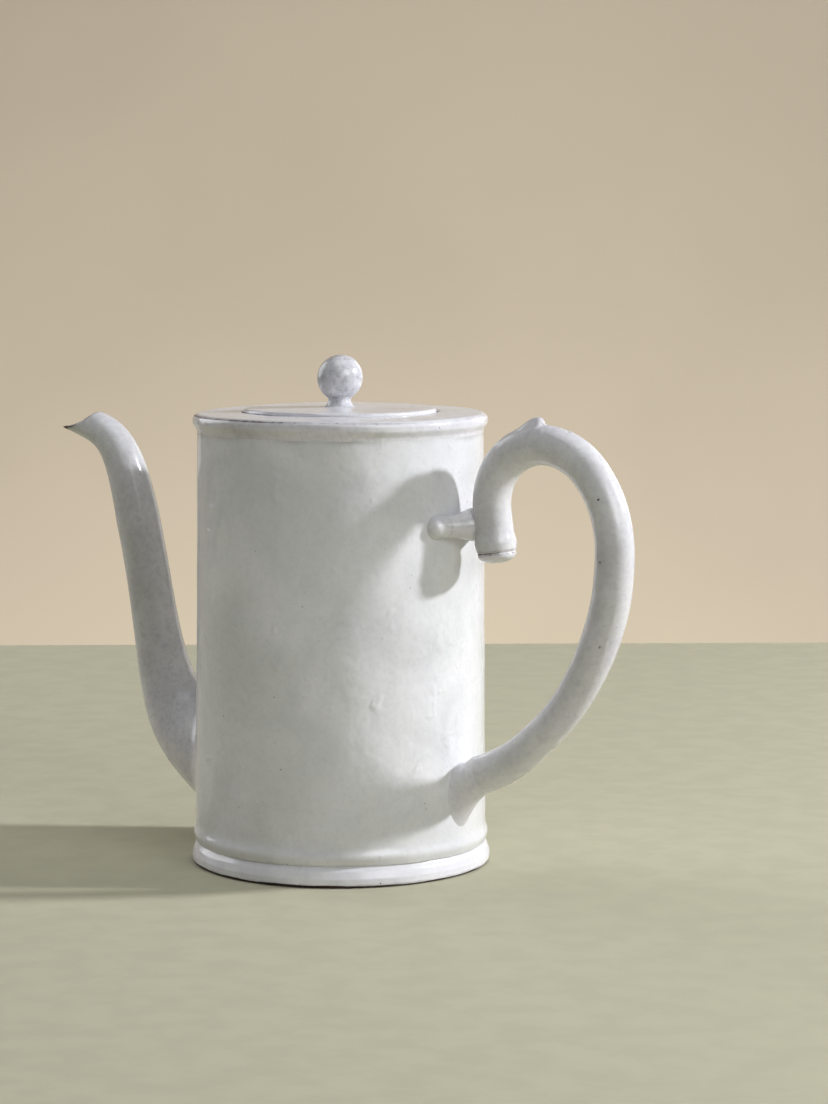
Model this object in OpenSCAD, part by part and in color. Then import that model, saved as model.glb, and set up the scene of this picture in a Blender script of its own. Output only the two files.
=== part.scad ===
// Hand-built stoneware coffee pot with a lift-off lid, in millimetres.
// The pot stands on z = 0 with its axis on Z. The handle points along +X and the spout along -X.

/* [Body] */
// Outer diameter of the wall under the shoulder
body_d = 114; // [100:1:140]
// Height of the shoulder's outer edge above the table
body_h = 180; // [155:1:220]
// How much wider the wall is at the foot than at the top, on the diameter
body_flare = 3; // [0:0.5:5]
// Thickness of the wall
wall_t = 4.5; // [3.5:0.5:6]

/* [Foot and floor] */
// Height of the foot ring
foot_h = 8.4; // [6:0.2:11]
// How far the foot ring stands out from the wall
foot_out = 1.5; // [0.5:0.1:3]
// Width of the foot ring, measured inwards
foot_w = 9; // [7:0.5:12]
// Height of the recess under the floor
foot_recess = 3; // [2:0.5:4]
// Height of the soft ridge above the foot ring
ridge_h = 4.6; // [3:0.2:6]

/* [Shoulder and mouth] */
// Thickness of the shoulder at its rolled outer edge
shoulder_t = 7; // [6:0.5:9]
// How far the rolled edge stands out from the wall
edge_out = 1.7; // [0.5:0.1:3]
// Diameter of the lid
lid_d = 77; // [64:1:84]
// Thickness of the lid
lid_t = 4.2; // [3.5:0.1:6]
// Depth of the seat that the lid lies in
seat_depth = 2.4; // [1.5:0.1:3]
// Clearance around the lid in its seat, on the radius
seat_gap = 0.9; // [0.5:0.1:1.5]
// Width of the ledge that carries the lid
ledge_w = 5; // [4:0.5:7]

/* [Lid] */
// Height of the locating flange under the lid
flange_h = 8; // [5:0.5:12]
// Thickness of the locating flange
flange_t = 4; // [3:0.5:5]
// Clearance of the flange in the mouth, on the radius
flange_gap = 1.2; // [0.6:0.1:2]
// Diameter of the knob
knob_d = 18.8; // [15:0.2:24]
// Diameter of the knob's stem where it is narrowest
stem_d = 10.4; // [8:0.2:12]
// Height of the stem between the lid and the knob
stem_h = 3.8; // [2.5:0.1:6]

/* [Handle] */
// Diameter of the clay coil that the handle is bent from
coil_d = 15.6; // [12.8:0.2:18]
// Clear distance between the wall and the handle's hanging end
scroll_gap = 6.9; // [6:0.1:8.5]
// Distance from the wall to the middle of the coil at its widest
handle_reach = 69.8; // [62:0.2:80]
// How far below the shoulder's edge the middle of the coil crests
crest_drop = 8.7; // [6:0.1:12]
// How far below its crest the handle is widest
grip_drop = 39.5; // [32:0.5:46]
// Bend radius where the handle turns down into its hanging end
crest_bend = 23.6; // [18:0.2:26]
// Length of the straight hanging end
scroll_len = 15.6; // [12:0.2:20]
// Outward tilt of the hanging end, in degrees
scroll_tilt = 7; // [0:1:9]
// Height of the middle of the coil where it meets its flared foot
root_z = 40.8; // [36:0.2:46]
// Length of the flared foot, from the wall
root_len = 9.1; // [8:0.1:12]
// How far below the hanging end's bend the coil around the wall lies
saddle_drop = 6; // [4:0.5:8]
// Diameter of the coil laid around the wall, behind the hanging end
saddle_d = 9.6; // [8.6:0.2:11]
// Half of the angle that this coil wraps around the wall, in degrees
saddle_half_angle = 13.7; // [10:0.1:18]

/* [Spout] */
// Outside radius of the spout's flared foot, inside the wall
spout_base_r = 27.4; // [24:0.2:30]
// Outside radius of the spout at its neck
spout_neck_r = 9.1; // [8:0.1:11]
// Thickness of the spout's wall
spout_t = 2.8; // [2.2:0.1:3.4]
// Distance from the wall to the tip of the spout
spout_reach = 85.4; // [78:0.2:92]
// How far below the shoulder's edge the tip lies
spout_drop = 11.4; // [8:0.2:16]
// Length of the mouth's slanting edge, seen from the side
mouth_len = 18.2; // [15:0.2:20]
// Diameter of each strainer hole behind the spout
strain_d = 7; // [4:0.5:8]
// Number of strainer holes around the middle one
strain_count = 6; // [4:1:8]

/* [Hidden] */
$fn = 96;

// Wall
top_r = body_d / 2;
foot_r = top_r + body_flare / 2;
wall_top = body_h - shoulder_t;
function wall_r(z) = foot_r + (top_r - foot_r) * (z - foot_h) / (wall_top - foot_h);
ridge_bulge_r = 4;
ridge_out = 0.5;
inner_r = top_r - wall_t;
cut_over = 20;

// Foot and floor
foot_outer_r = foot_r + foot_out;
foot_inner_r = foot_outer_r - foot_w;
foot_edge_back = 1;
foot_bulge_r = (foot_h * foot_h / 4 + foot_edge_back * foot_edge_back) / (2 * foot_edge_back);

// Shoulder, from the lid outwards
lid_r = lid_d / 2;
seat_r = lid_r + seat_gap;
mouth_r = seat_r - ledge_w;
shoulder_rise = 0.8;
seat_z = body_h + shoulder_rise - seat_depth;
edge_r = top_r + edge_out;
edge_back = 0.7;
edge_bulge_r = (shoulder_t * shoulder_t / 4 + edge_back * edge_back) / (2 * edge_back);

// Lid and knob
lid_top = seat_z + lid_t;
lid_edge_round = 1.2;
flange_r = mouth_r - flange_gap;
knob_r = knob_d / 2;
knob_sink = 0.78;
knob_base_z = lid_top + stem_h;
knob_z = knob_base_z + knob_r * knob_sink;
stem_flare = 1.2;

// Handle: a chain of bends in the XZ plane, worked out from where it starts, crests and ends
coil_r = coil_d / 2;
scroll_x = top_r + scroll_gap + coil_r;
crest_x = scroll_x + crest_bend;
crest_z = body_h - crest_drop;
grip_x = top_r + handle_reach;
grip_z = crest_z - grip_drop;
crest_to_grip = [grip_x - crest_x, crest_z - grip_z];
outer_share = 0.86;
outer_bend = crest_to_grip[0] * outer_share;
side_bend = (crest_to_grip[0] ^ 2 + crest_to_grip[1] ^ 2 - 2 * outer_bend * crest_to_grip[1])
    / (2 * (crest_to_grip[0] - outer_bend));
outer_centre = [crest_x, crest_z - outer_bend];
side_centre = [grip_x - side_bend, grip_z];
side_angle = atan2(outer_centre[1] - side_centre[1], outer_centre[0] - side_centre[0]);
lower_turn = 47;
root_turn = 71;
root_bend = 59;
root_end = [wall_r(root_z) + root_len, root_z];
lower_run = [grip_x - root_end[0] - root_bend * (cos(lower_turn) - cos(root_turn)),
    grip_z - root_end[1] - root_bend * (sin(root_turn) - sin(lower_turn))];
lower_straight = max(0, sin(lower_turn) * lower_run[0] / (1 - cos(lower_turn)) - lower_run[1]);
lower_bend = (lower_run[0] - lower_straight * sin(lower_turn)) / (1 - cos(lower_turn));
grip_straight = lower_run[1] - lower_bend * sin(lower_turn) - lower_straight * cos(lower_turn);
grip_low = [grip_x, grip_z - grip_straight];
lower_centre = grip_low - [lower_bend, 0];
straight_start = lower_centre + lower_bend * [cos(lower_turn), -sin(lower_turn)];
straight_end = straight_start - lower_straight * [sin(lower_turn), cos(lower_turn)];
root_centre = straight_end - root_bend * [cos(lower_turn), -sin(lower_turn)];
scroll_centre = [crest_x, crest_z - crest_bend];
scroll_start = scroll_centre - crest_bend * [cos(scroll_tilt), sin(scroll_tilt)];
scroll_end = scroll_start + scroll_len * [sin(scroll_tilt), -cos(scroll_tilt)];
cap_flare = 0.5;
cap_t = 2.4;
cap_dome = 2;
saddle_z = scroll_start[1] - saddle_drop;
saddle_r = saddle_d / 2;
saddle_bite = 0.2;
saddle_steps = 8;
end_turn = 78;
end_steps = 4;
saddle_ring_r = wall_r(saddle_z) + saddle_r - saddle_bite;
root_pad = [9.5, 13.7];
root_pad_drop = 8.3;
root_pad_sink = 3;
nub_rise = 1.5;
// Balls that the thumb rest is hulled from: angle round the crest's bend, height of the top, radius
nub_balls = [[108, 0, 1.2], [92, nub_rise - 0.2, 3], [87, nub_rise - 1.8, 2.2]];

// Spout: a route of two smooth curves in the XZ plane, drawn towards +X and mirrored at the end
spout_taper = 2.43;
spout_neck_out = 45.7;
spout_neck_drop = 48;
spout_neck = [top_r + spout_neck_out, body_h - spout_neck_drop];
spout_low = [[top_r - 17, 33.6], [top_r + 36, 48.5], [top_r + 29.5, 56], spout_neck];
neck_way = (spout_neck - spout_low[2]) / norm(spout_neck - spout_low[2]);
neck_pull = 37;
spout_end = [top_r + spout_reach - 4.4, body_h - spout_drop + 5.1];
spout_high = [spout_neck, spout_neck + neck_pull * neck_way, spout_end - [20.8, 5.6], spout_end];
low_steps = 14;
high_steps = 8;
ring_sides = 24;
beak_r = 5.8;
beak_over = 6;
channel_over = 8;
lip_t = 1.8;
mouth_tip = [top_r + spout_reach, body_h - spout_drop];
mouth_rise = 8.6;
mouth_back = mouth_tip + [-mouth_len, mouth_rise];
mouth_cut_r = 44;
strain_z = 37;
strain_ring_r = 11.5;

// Helpers

// Point at t, from 0 to 1, on the smooth curve with four control points p
function curve(p, t) = p[0] * (1 - t) ^ 3 + 3 * p[1] * t * (1 - t) ^ 2
    + 3 * p[2] * t ^ 2 * (1 - t) + p[3] * t ^ 3;
// Direction of the same curve at t, as an angle from the X axis
function curve_angle(p, t) =
    let (d = (p[1] - p[0]) * (1 - t) ^ 2 + 2 * (p[2] - p[1]) * t * (1 - t) + (p[3] - p[2]) * t ^ 2)
    atan2(d[1], d[0]);
// Ring of points around c, square to a direction at angle a in the XZ plane
function ring(c, a, r) = [for (i = [0:ring_sides - 1])
    let (turn = 360 * i / ring_sides)
    [c[0] - r * cos(turn) * sin(a), r * sin(turn), c[1] + r * cos(turn) * cos(a)]];

// Solid skinned over a list of rings, closed at both ends
module skin(rings) {
    n = ring_sides;
    last = len(rings) - 1;
    points = [for (r = rings) for (p = r) p];
    sides = [for (k = [0:last - 1]) for (i = [0:n - 1])
        let (j = (i + 1) % n)
        for (f = [[k * n + i, k * n + j, (k + 1) * n + j], [k * n + i, (k + 1) * n + j, (k + 1) * n + i]])
        f];
    first_cap = [for (i = [n - 1:-1:0]) i];
    last_cap = [for (i = [0:n - 1]) last * n + i];
    polyhedron(points, concat([first_cap], sides, [last_cap]), convexity = 6);
}

// Outside radius of the spout on its lower curve, and on its upper one
function low_r(s) = spout_neck_r + (spout_base_r - spout_neck_r) * (1 - s) ^ spout_taper;
function high_r(s) = spout_neck_r + (beak_r - spout_neck_r) * s;

// Solid of the spout's route, less a wall that thins from t at the foot to lip at the mouth
module spout_route(t, lip, over) {
    end_angle = curve_angle(spout_high, 1);
    low = [for (k = [0:low_steps])
        let (s = k / low_steps)
        ring(curve(spout_low, s), curve_angle(spout_low, s), low_r(s) - t)];
    high = [for (k = [1:high_steps])
        let (s = k / high_steps)
        ring(curve(spout_high, s), curve_angle(spout_high, s), high_r(s) - t + (t - lip) * s)];
    end = [ring(spout_end + over * [cos(end_angle), sin(end_angle)], end_angle, beak_r - lip)];
    skin(concat(low, high, end));
}

// Rings of the handle's coil along a clockwise bend in the XZ plane, after its first ring
function bend(centre, bend_r, from, to, steps) = [for (k = [1:steps])
    let (a = from + (to - from) * k / steps)
    ring(centre + bend_r * [cos(a), sin(a)], a - 90, coil_r)];

// Last ring of a straight run of the coil between two bends, or nothing where they meet
function straight_run(end, turned, length) = length > 0.01 ? [ring(end, turned - 90, coil_r)] : [];

// Straight length of the coil from a point, turned from straight down towards +X
module straight(start, turn, length) {
    translate([start[0], 0, start[1]])
        rotate([0, 180 - turn, 0])
        cylinder(r = coil_r, h = length);
}

// The whole inside of the pot and its wall, without the spout's holes, down through the table
module wall_solid() {
    rotate_extrude()
        union() {
            polygon([[0, -cut_over], [foot_r, -cut_over], [foot_r, foot_h], [top_r, wall_top],
                [top_r, body_h + cut_over], [0, body_h + cut_over]]);
            wall_ridge();
        }
}

// Section of the soft ridge at the bottom of the wall
module wall_ridge() {
    intersection() {
        translate([foot_r + ridge_out - ridge_bulge_r, foot_h + ridge_h / 2])
            circle(ridge_bulge_r);
        translate([inner_r + wall_t / 2, foot_h])
            square([2 * wall_t, ridge_h]);
    }
}

// Sub-parts

module body_wall() {
    color("lightgray")
        difference() {
            rotate_extrude()
                union() {
                    polygon([[inner_r, foot_h], [foot_r, foot_h], [top_r, wall_top], [inner_r, wall_top]]);
                    wall_ridge();
                }
            strainer_holes();
        }
}

module strainer_holes() {
    translate([0, 0, strain_z])
        rotate([0, -90, 0])
        union() {
            cylinder(d = strain_d, h = 2 * top_r, $fn = 48);
            for (i = [0:strain_count - 1])
                rotate([0, 0, 360 * i / strain_count])
                translate([strain_ring_r, 0, 0])
                cylinder(d = strain_d, h = 2 * top_r, $fn = 48);
        }
}

module base_disc() {
    color("dimgray")
        translate([0, 0, foot_recess])
        cylinder(r = foot_inner_r, h = foot_h - foot_recess);
}

module foot_ring() {
    color("gray")
        rotate_extrude()
        intersection() {
            translate([foot_outer_r - foot_bulge_r, foot_h / 2])
                circle(foot_bulge_r);
            translate([foot_inner_r, 0])
                square([2 * foot_w, foot_h]);
        }
}

module shoulder() {
    color("whitesmoke")
        rotate_extrude()
        difference() {
            union() {
                polygon([[mouth_r, wall_top], [inner_r, wall_top], [top_r, body_h],
                    [seat_r, body_h + shoulder_rise], [mouth_r, body_h + shoulder_rise]]);
                intersection() {
                    translate([edge_r - edge_bulge_r, body_h - shoulder_t / 2])
                        circle(edge_bulge_r);
                    translate([inner_r - 1, wall_top])
                        square([4 * wall_t, shoulder_t]);
                }
            }
            translate([mouth_r - 1, seat_z])
                square([ledge_w + 1, 2 * seat_depth]);
        }
}

module spout() {
    color("lightgray")
        mirror([1, 0, 0])
        difference() {
            spout_route(0, 0, beak_over);
            spout_route(spout_t, lip_t, channel_over);
            wall_solid();
            spout_mouth_cut();
        }
}

// Large drum that cuts the mouth with a slightly hollow edge, sloping down to the tip
module spout_mouth_cut() {
    chord = mouth_tip - mouth_back;
    middle = (mouth_tip + mouth_back) / 2;
    up = [-chord[1], chord[0]] / norm(chord);
    rise = sqrt(mouth_cut_r ^ 2 - (norm(chord) / 2) ^ 2);
    drum = middle + up * rise;
    translate([drum[0], 2 * beak_r, drum[1]])
        rotate([90, 0, 0])
        cylinder(r = mouth_cut_r, h = 4 * beak_r, $fn = 180);
}

module handle_coil() {
    color("gainsboro")
        skin(concat(
            [ring(scroll_end, 90 + scroll_tilt, coil_r), ring(scroll_start, 90 + scroll_tilt, coil_r)],
            bend(scroll_centre, crest_bend, 180 + scroll_tilt, 90, 10),
            bend(outer_centre, outer_bend, 90, side_angle, 5),
            bend(side_centre, side_bend, side_angle, 0, 6),
            straight_run(grip_low, 0, grip_straight),
            bend(lower_centre, lower_bend, 0, -lower_turn, 7),
            straight_run(straight_end, -lower_turn, lower_straight),
            bend(root_centre, root_bend, -lower_turn, -root_turn, 3)));
}

// Flared foot of the handle, pressed onto the wall
module handle_root() {
    color("gainsboro")
        difference() {
            hull() {
                translate([root_end[0], 0, root_end[1]])
                    rotate([0, 180 + root_turn, 0])
                    cylinder(r = coil_r, h = 0.5, $fn = 40);
                translate([wall_r(root_z) - root_pad_sink, 0, root_end[1] - root_pad_drop])
                    scale([1, root_pad[0], root_pad[1]])
                    rotate([0, 90, 0])
                    cylinder(r = 1, h = 2, $fn = 40);
            }
            wall_solid();
        }
}

// Coil laid around the wall, with round ends, which the handle's hanging end is pressed into
module handle_saddle() {
    first_end = [for (turn = [end_turn:-end_turn / end_steps:1]) saddle_end_ring(-1, turn)];
    last_end = [for (turn = [end_turn / end_steps:end_turn / end_steps:end_turn]) saddle_end_ring(1, turn)];
    length = [for (k = [0:saddle_steps])
        saddle_ring((2 * k / saddle_steps - 1) * saddle_half_angle, 0, saddle_r)];
    color("gainsboro")
        difference() {
            skin(concat(first_end, length, last_end));
            wall_solid();
            straight(scroll_start, scroll_tilt, scroll_len);
        }
}

// Ring of points at angle a around the wall, and at a distance over straight on from there
function saddle_ring(a, over, r) = [for (i = [0:ring_sides - 1])
    let (turn = 360 * i / ring_sides, out = saddle_ring_r + r * cos(turn))
    [out * cos(a) - over * sin(a), out * sin(a) + over * cos(a), saddle_z + r * sin(turn)]];
function saddle_end_ring(side, turn) =
    saddle_ring(side * saddle_half_angle, side * saddle_r * sin(turn), saddle_r * cos(turn));

// Domed disc that closes the hanging end
module scroll_cap() {
    dome_r = (coil_r ^ 2 + cap_dome ^ 2) / (2 * cap_dome);
    color("gainsboro")
        translate([scroll_end[0], 0, scroll_end[1]])
        rotate([0, 180 - scroll_tilt, 0])
        rotate_extrude()
        union() {
            polygon([[0, 0], [coil_r, 0], [coil_r + cap_flare, cap_t / 2], [coil_r, cap_t], [0, cap_t]]);
            intersection() {
                translate([0, cap_t + cap_dome - dome_r])
                    circle(dome_r);
                translate([0, cap_t])
                    square([coil_r, cap_dome]);
            }
        }
}

// Small wedge of clay on the crest of the handle, under the thumb
module thumb_rest() {
    color("gainsboro")
        hull()
        for (b = nub_balls)
            let (distance = crest_bend + coil_r + b[1] - b[2])
            translate([scroll_centre[0] + distance * cos(b[0]), 0, scroll_centre[1] + distance * sin(b[0])])
            sphere(r = b[2], $fn = 20);
}

module lid_disc() {
    color("whitesmoke")
        translate([0, 0, seat_z])
        rotate_extrude()
        union() {
            polygon([[0, 0], [lid_r, 0], [lid_r, lid_t - lid_edge_round], [lid_r - lid_edge_round, lid_t],
                [0, lid_t]]);
            translate([lid_r - lid_edge_round, lid_t - lid_edge_round])
                intersection() {
                    circle(lid_edge_round);
                    square(lid_edge_round);
                }
        }
}

module lid_flange() {
    color("lightgray")
        translate([0, 0, seat_z - flange_h])
        rotate_extrude()
        translate([flange_r - flange_t, 0])
        square([flange_t, flange_h]);
}

module knob_stem() {
    color("dimgray")
        translate([0, 0, lid_top])
        rotate_extrude()
        difference() {
            square([stem_d / 2 + stem_flare, stem_h]);
            translate([stem_d / 2 + stem_h, stem_h])
                circle(stem_h);
        }
}

module knob() {
    color("whitesmoke")
        intersection() {
            translate([0, 0, knob_z])
                sphere(knob_r);
            translate([0, 0, knob_base_z])
                cylinder(r = knob_d, h = 2 * knob_d);
        }
}

body_wall();
base_disc();
foot_ring();
shoulder();
spout();
handle_coil();
handle_root();
handle_saddle();
scroll_cap();
thumb_rest();
lid_disc();
lid_flange();
knob_stem();
knob();
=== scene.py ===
import math

import bmesh
import bpy
import numpy as np
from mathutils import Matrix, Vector


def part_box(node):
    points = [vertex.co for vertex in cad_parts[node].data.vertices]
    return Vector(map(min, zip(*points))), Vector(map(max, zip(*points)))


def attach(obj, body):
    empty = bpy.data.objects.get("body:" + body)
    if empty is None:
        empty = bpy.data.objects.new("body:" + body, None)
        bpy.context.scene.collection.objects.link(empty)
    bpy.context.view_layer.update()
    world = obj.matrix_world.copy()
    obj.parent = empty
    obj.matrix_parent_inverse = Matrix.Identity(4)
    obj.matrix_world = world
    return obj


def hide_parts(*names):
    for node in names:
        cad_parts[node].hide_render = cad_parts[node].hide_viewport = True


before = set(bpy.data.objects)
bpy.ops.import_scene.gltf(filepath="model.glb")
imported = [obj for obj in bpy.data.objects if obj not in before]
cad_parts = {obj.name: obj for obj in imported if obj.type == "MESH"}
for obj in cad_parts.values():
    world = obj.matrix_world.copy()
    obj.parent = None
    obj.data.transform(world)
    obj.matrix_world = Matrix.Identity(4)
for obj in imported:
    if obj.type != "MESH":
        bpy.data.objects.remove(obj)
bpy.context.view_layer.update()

MM = 0.001


def corners(node):
    """Lowest and highest corner of one of the pot's parts, in millimetres."""
    low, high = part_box(node)
    return np.array(low) / MM, np.array(high) / MM


# The main sizes of the pot, in millimetres
FOOT_OUT = corners("foot_ring")[1][0]
FOOT_TOP = corners("foot_ring")[1][2]
WALL_TOP = corners("body_wall")[1][2]
RIM_OUT = corners("shoulder")[1][0]
RIM_TOP = corners("shoulder")[1][2]
WALL_FOOT_R = FOOT_OUT - 1.5
WALL_TOP_R = RIM_OUT - 1.7
INNER_R = WALL_TOP_R - 4.5
FOOT_INNER_R = FOOT_OUT - 9.0
RECESS_TOP = corners("base_disc")[0][2]
LID_R = corners("lid_disc")[1][0]
LID_LOW, LID_TOP = corners("lid_disc")[0][2], corners("lid_disc")[1][2]
FLANGE_R = corners("lid_flange")[1][0]
FLANGE_LOW = corners("lid_flange")[0][2]
SEAT_R = LID_R + 0.9
MOUTH_R = SEAT_R - 5.0
KNOB_LOW, KNOB_TOP = corners("knob")[0][2], corners("knob")[1][2]
BALL_R = corners("knob")[1][0] - 0.35


def wall_r(z):
    """Outer radius of the plain wall at a height."""
    return WALL_FOOT_R + (WALL_TOP_R - WALL_FOOT_R) * (z - FOOT_TOP) / (WALL_TOP - FOOT_TOP)


def ease(t):
    """Smooth step from 0 to 1."""
    t = np.clip(t, 0, 1)
    return t * t * (3 - 2 * t)


def bell(t):
    """Smooth bump, 1 at 0 and fading within about 2."""
    return np.exp(-np.square(t))


# The uneven hand of the maker: long, shallow waves that all the clay shares
WAVES = np.random.default_rng(11)
WAVE_SET = []
for length, height, count in ((95, 0.16, 5), (42, 0.055, 6), (19, 0.018, 7)):
    for _ in range(count):
        way = WAVES.normal(size=3)
        push = WAVES.normal(size=3)
        WAVE_SET.append((2 * math.pi / length * way / np.linalg.norm(way),
                         height * push / np.linalg.norm(push), WAVES.uniform(0, 2 * math.pi)))


def hand_waves(points):
    """How far the maker's hand moved the clay at each point."""
    moved = np.zeros_like(points)
    for way, push, start in WAVE_SET:
        moved += np.sin(points @ way + start)[:, None] * push
    moved[:, 2] *= ease(points[:, 2] / 14)
    return moved


def placed(name, data):
    """New object in the scene that shows the given data."""
    thing = bpy.data.objects.new(name, data)
    bpy.context.scene.collection.objects.link(thing)
    return thing


def clay_piece(name, node, body, slot, points, faces, bare=None, thin=None, veil_and_shade=None):
    """One piece of clay with its glaze marks: bare has no glaze, thin is where it ran off an edge, veil is
    where it lies so lightly that the clay greys it; all three also carry painted shade in some hollows,
    creases and shaded sides."""
    points = np.asarray(points, float).reshape(-1, 3)
    count = len(points)
    mesh = bpy.data.meshes.new(name)
    mesh.from_pydata(((points + hand_waves(points)) * MM).tolist(), [], faces)
    for label, values in (("bare", bare), ("thin", thin), ("veil_and_shade", veil_and_shade)):
        mark = mesh.attributes.new(label, "FLOAT", "POINT")
        values = np.zeros(count) if values is None else np.asarray(values, float)
        mark.data.foreach_set("value", values.astype(np.float32))
    shaped = bmesh.new()
    shaped.from_mesh(mesh)
    bmesh.ops.recalc_face_normals(shaped, faces=shaped.faces)
    shaped.to_mesh(mesh)
    shaped.free()
    mesh.shade_smooth()
    mesh.materials.append(FINISHES[slot])
    piece = placed(name, mesh)
    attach(piece, body)
    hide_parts(node)
    return piece


def rounded(corner_list, steps=6):
    """Closed section of (r, z) points from corners (r, z, rounding)."""
    section = []
    count = len(corner_list)
    for i, (r, z, rounding) in enumerate(corner_list):
        here = np.array([r, z], float)
        before = np.array(corner_list[i - 1][:2], float) - here
        after = np.array(corner_list[(i + 1) % count][:2], float) - here
        to_before, to_after = np.linalg.norm(before), np.linalg.norm(after)
        before, after = before / to_before, after / to_after
        half = math.acos(np.clip(before @ after, -1, 1)) / 2
        reach = min(rounding / math.tan(half), 0.49 * to_before, 0.49 * to_after) if rounding else 0
        if reach < 1e-6:
            section.append(here)
            continue
        start, end = here + before * reach, here + after * reach
        for k in range(steps + 1):
            t = k / steps
            section.append((1 - t) ** 2 * start + 2 * t * (1 - t) * here + t * t * end)
    return np.array(section)


def finer(section, longest=3.0):
    """The same closed section with no step longer than the given length."""
    out = []
    for a, b in zip(section, np.roll(section, -1, axis=0)):
        steps = max(1, int(math.ceil(np.linalg.norm(b - a) / longest)))
        out += [a + (b - a) * k / steps for k in range(steps)]
    return np.array(out)


def turned(section, around=192, closed=True):
    """Points and faces of a section turned on the wheel. An open section starts or ends on the axis."""
    turn = np.arange(around) * 2 * math.pi / around
    points, rows = [], []
    for r, z in section:
        if r < 1e-6:
            rows.append([len(points)] * around)
            points.append((0, 0, z))
        else:
            rows.append(list(range(len(points), len(points) + around)))
            points += [(r * math.cos(a), r * math.sin(a), z) for a in turn]
    pairs = list(zip(rows, rows[1:] + rows[:1])) if closed else list(zip(rows, rows[1:]))
    faces = []
    for low, high in pairs:
        for j in range(around):
            k = (j + 1) % around
            ring = list(dict.fromkeys((low[j], low[k], high[k], high[j])))
            if len(ring) > 2:
                faces.append(ring)
    return np.array(points, float), faces


def polar(points):
    """Distance from the axis, height and turn of each point."""
    r = np.hypot(points[:, 0], points[:, 1])
    return r, points[:, 2], np.arctan2(points[:, 1], points[:, 0])


def tube_faces(rows, around, cap_first=True, cap_last=True):
    """Faces of a tube of rings, each with the same number of points."""
    faces = []
    for i in range(rows - 1):
        for j in range(around):
            k = (j + 1) % around
            faces.append((i * around + j, i * around + k, (i + 1) * around + k, (i + 1) * around + j))
    if cap_first:
        faces.append(tuple(range(around)))
    if cap_last:
        faces.append(tuple((rows - 1) * around + j for j in range(around)))
    return faces


def crest(points, places, width):
    """Mark along turned edges at (r, z) places, fading over a width."""
    r = np.hypot(points[:, 0], points[:, 1])
    found = np.zeros(len(points))
    for edge_r, edge_z in places:
        found = np.maximum(found, bell(np.hypot(r - edge_r, points[:, 2] - edge_z) / width))
    return found


# Finishes

def new_group(name, inputs, outputs):
    """Empty effect with named inputs and outputs."""
    group = bpy.data.node_groups.new(name, "ShaderNodeTree")
    for label, kind, value in inputs:
        socket = group.interface.new_socket(label, in_out="INPUT", socket_type=kind)
        socket.default_value = value
    for label, kind in outputs:
        group.interface.new_socket(label, in_out="OUTPUT", socket_type=kind)
    return group, group.nodes.new("NodeGroupInput"), group.nodes.new("NodeGroupOutput")


def wire(tree, source, target):
    """Joins a source, which is a socket or a plain value, to a socket."""
    if isinstance(source, bpy.types.NodeSocket):
        tree.links.new(source, target)
    else:
        target.default_value = source


def sum_of(tree, operation, a, b, clamp=False):
    """Output of one math step."""
    node = tree.nodes.new("ShaderNodeMath")
    node.operation = operation
    node.use_clamp = clamp
    wire(tree, a, node.inputs[0])
    wire(tree, b, node.inputs[1])
    return node.outputs[0]


def spread(tree, value, low, high, to_low=0.0, to_high=1.0):
    """Value eased from one range to another."""
    node = tree.nodes.new("ShaderNodeMapRange")
    node.interpolation_type = "SMOOTHSTEP"
    wire(tree, value, node.inputs["Value"])
    for label, number in (("From Min", low), ("From Max", high), ("To Min", to_low), ("To Max", to_high)):
        wire(tree, number, node.inputs[label])
    return node.outputs["Result"]


def blend(tree, share, first, second, way="MIX"):
    """Colour between two colours."""
    node = tree.nodes.new("ShaderNodeMix")
    node.data_type = "RGBA"
    node.blend_type = way
    wire(tree, share, node.inputs[0])
    wire(tree, first, node.inputs[6])
    wire(tree, second, node.inputs[7])
    return node.outputs[2]


def place(tree, stretch=(1, 1, 1)):
    """Position on the pot, stretched along each axis."""
    where = tree.nodes.new("ShaderNodeTexCoord")
    node = tree.nodes.new("ShaderNodeMapping")
    node.inputs["Scale"].default_value = stretch
    tree.links.new(where.outputs["Object"], node.inputs["Vector"])
    return node.outputs["Vector"]


def noise(tree, where, scale, detail=2.0, roughness=0.5, distortion=0.0):
    """Soft random value from 0 to 1."""
    node = tree.nodes.new("ShaderNodeTexNoise")
    wire(tree, where, node.inputs["Vector"])
    wire(tree, scale, node.inputs["Scale"])
    node.inputs["Detail"].default_value = detail
    node.inputs["Roughness"].default_value = roughness
    node.inputs["Distortion"].default_value = distortion
    return node.outputs["Fac"]


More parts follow.
